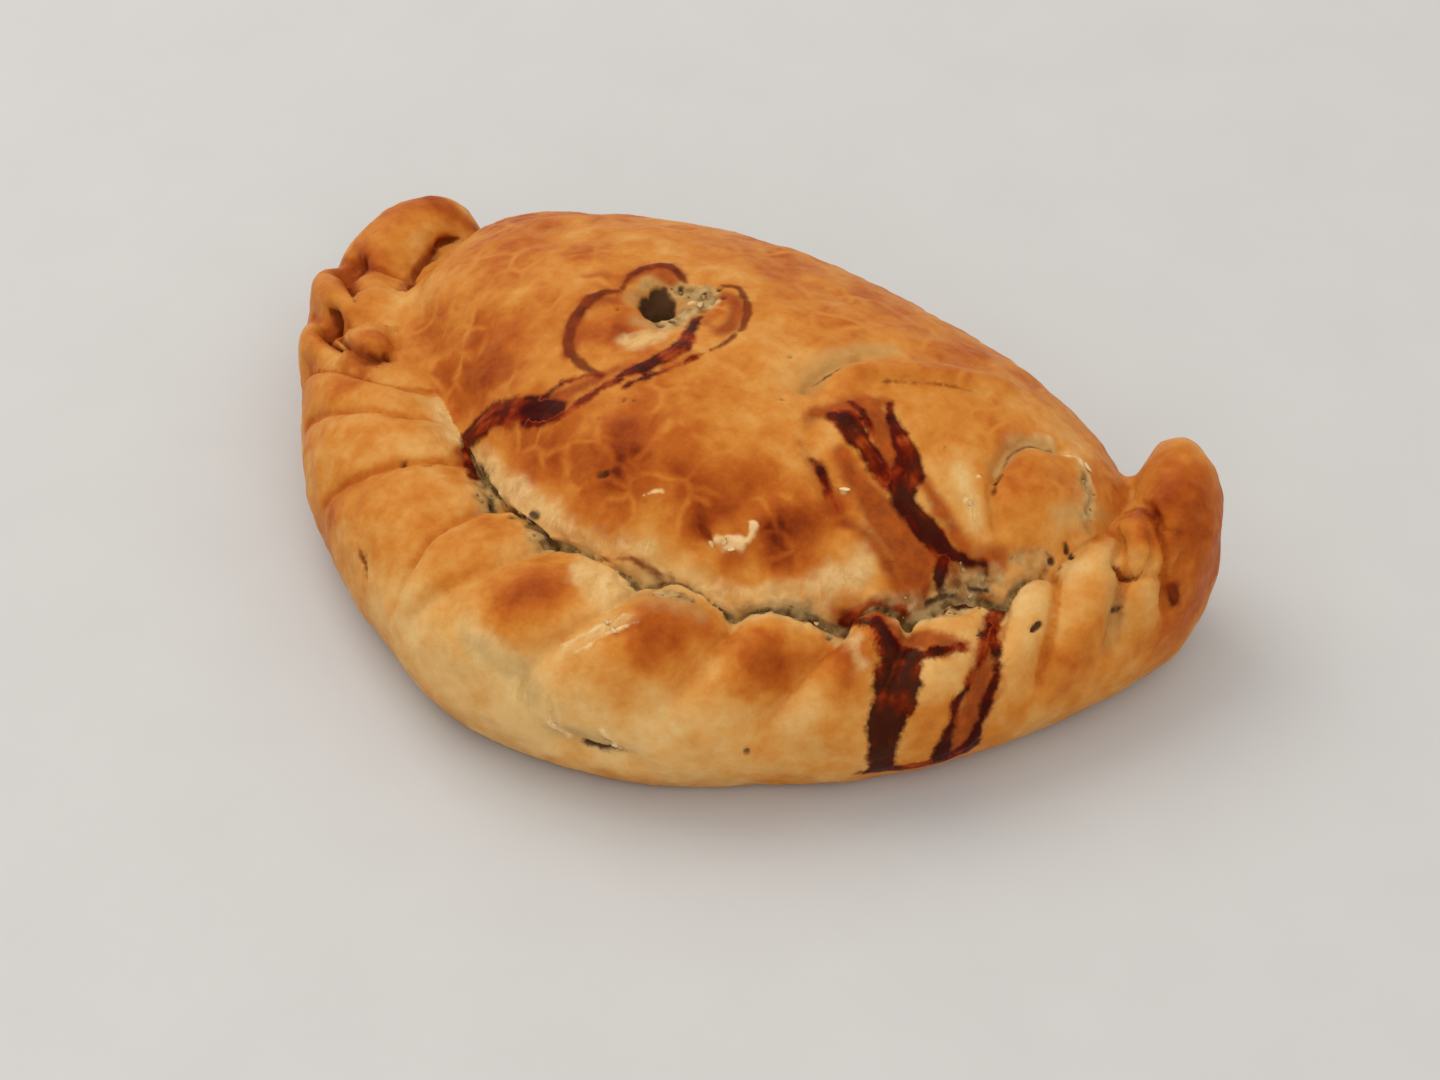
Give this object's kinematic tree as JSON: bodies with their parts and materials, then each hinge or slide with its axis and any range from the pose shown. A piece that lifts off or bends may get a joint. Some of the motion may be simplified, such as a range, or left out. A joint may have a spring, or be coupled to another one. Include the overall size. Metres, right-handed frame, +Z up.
{
  "type": "meat pasty",
  "caption": "Baked half-moon pasty with a thick rope crimp along its front, a turned-up end, a torn seam and dark gravy runs over a golden crust.",
  "frame": {"origin": "under the middle of the pasty's box, on its flat underside", "axes": "+X along the pasty's length towards the turned-up end, +Y towards its smooth back, -Y towards the crimped front, +Z up"},
  "size_m": [0.1974, 0.1312, 0.0518],
  "materials": {
    "crust": "satin, egg-washed golden brown pastry"
  },
  "bodies": {
    "root": {"pasty": "crust"}
  },
  "joints": []
}
